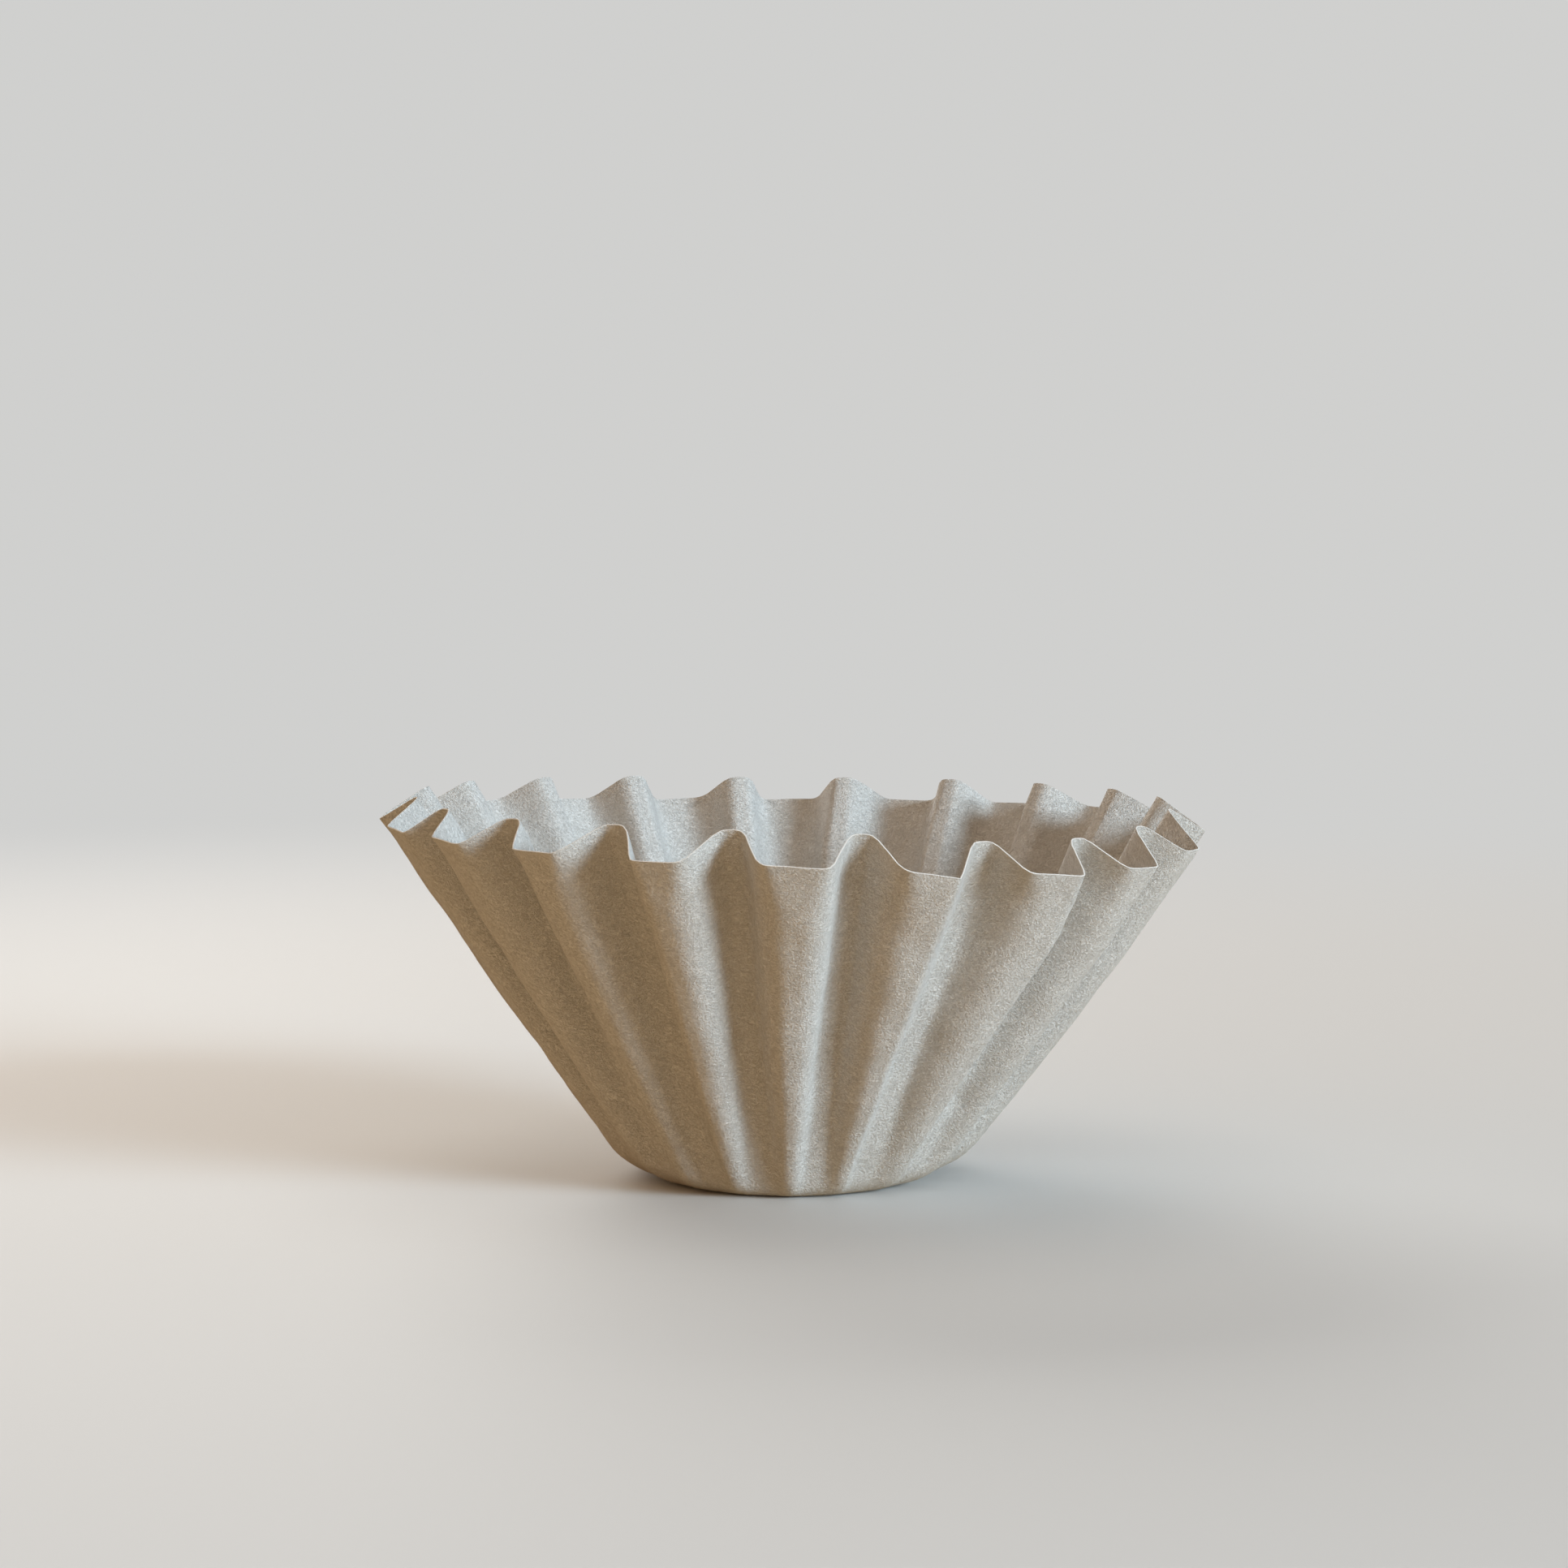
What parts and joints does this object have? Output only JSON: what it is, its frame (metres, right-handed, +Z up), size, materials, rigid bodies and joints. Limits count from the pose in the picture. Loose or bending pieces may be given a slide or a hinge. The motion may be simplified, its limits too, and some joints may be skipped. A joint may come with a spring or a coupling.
{
  "type": "paper coffee filter",
  "caption": "Fluted flat-bottomed paper filter cup for drip coffee, one pressed round of unglazed white paper with a wavy cut edge.",
  "frame": {"origin": "centre of the underside of the flat base, on the surface it stands on", "axes": "+Z up along the cup's axis; +X through the middle of one ridge"},
  "size_m": [0.1304, 0.1304, 0.0588],
  "materials": {
    "paper": "matte, unglazed, slightly see-through, with a soft fibrous face"
  },
  "bodies": {
    "root": {"paper_filter": "paper"}
  },
  "joints": []
}
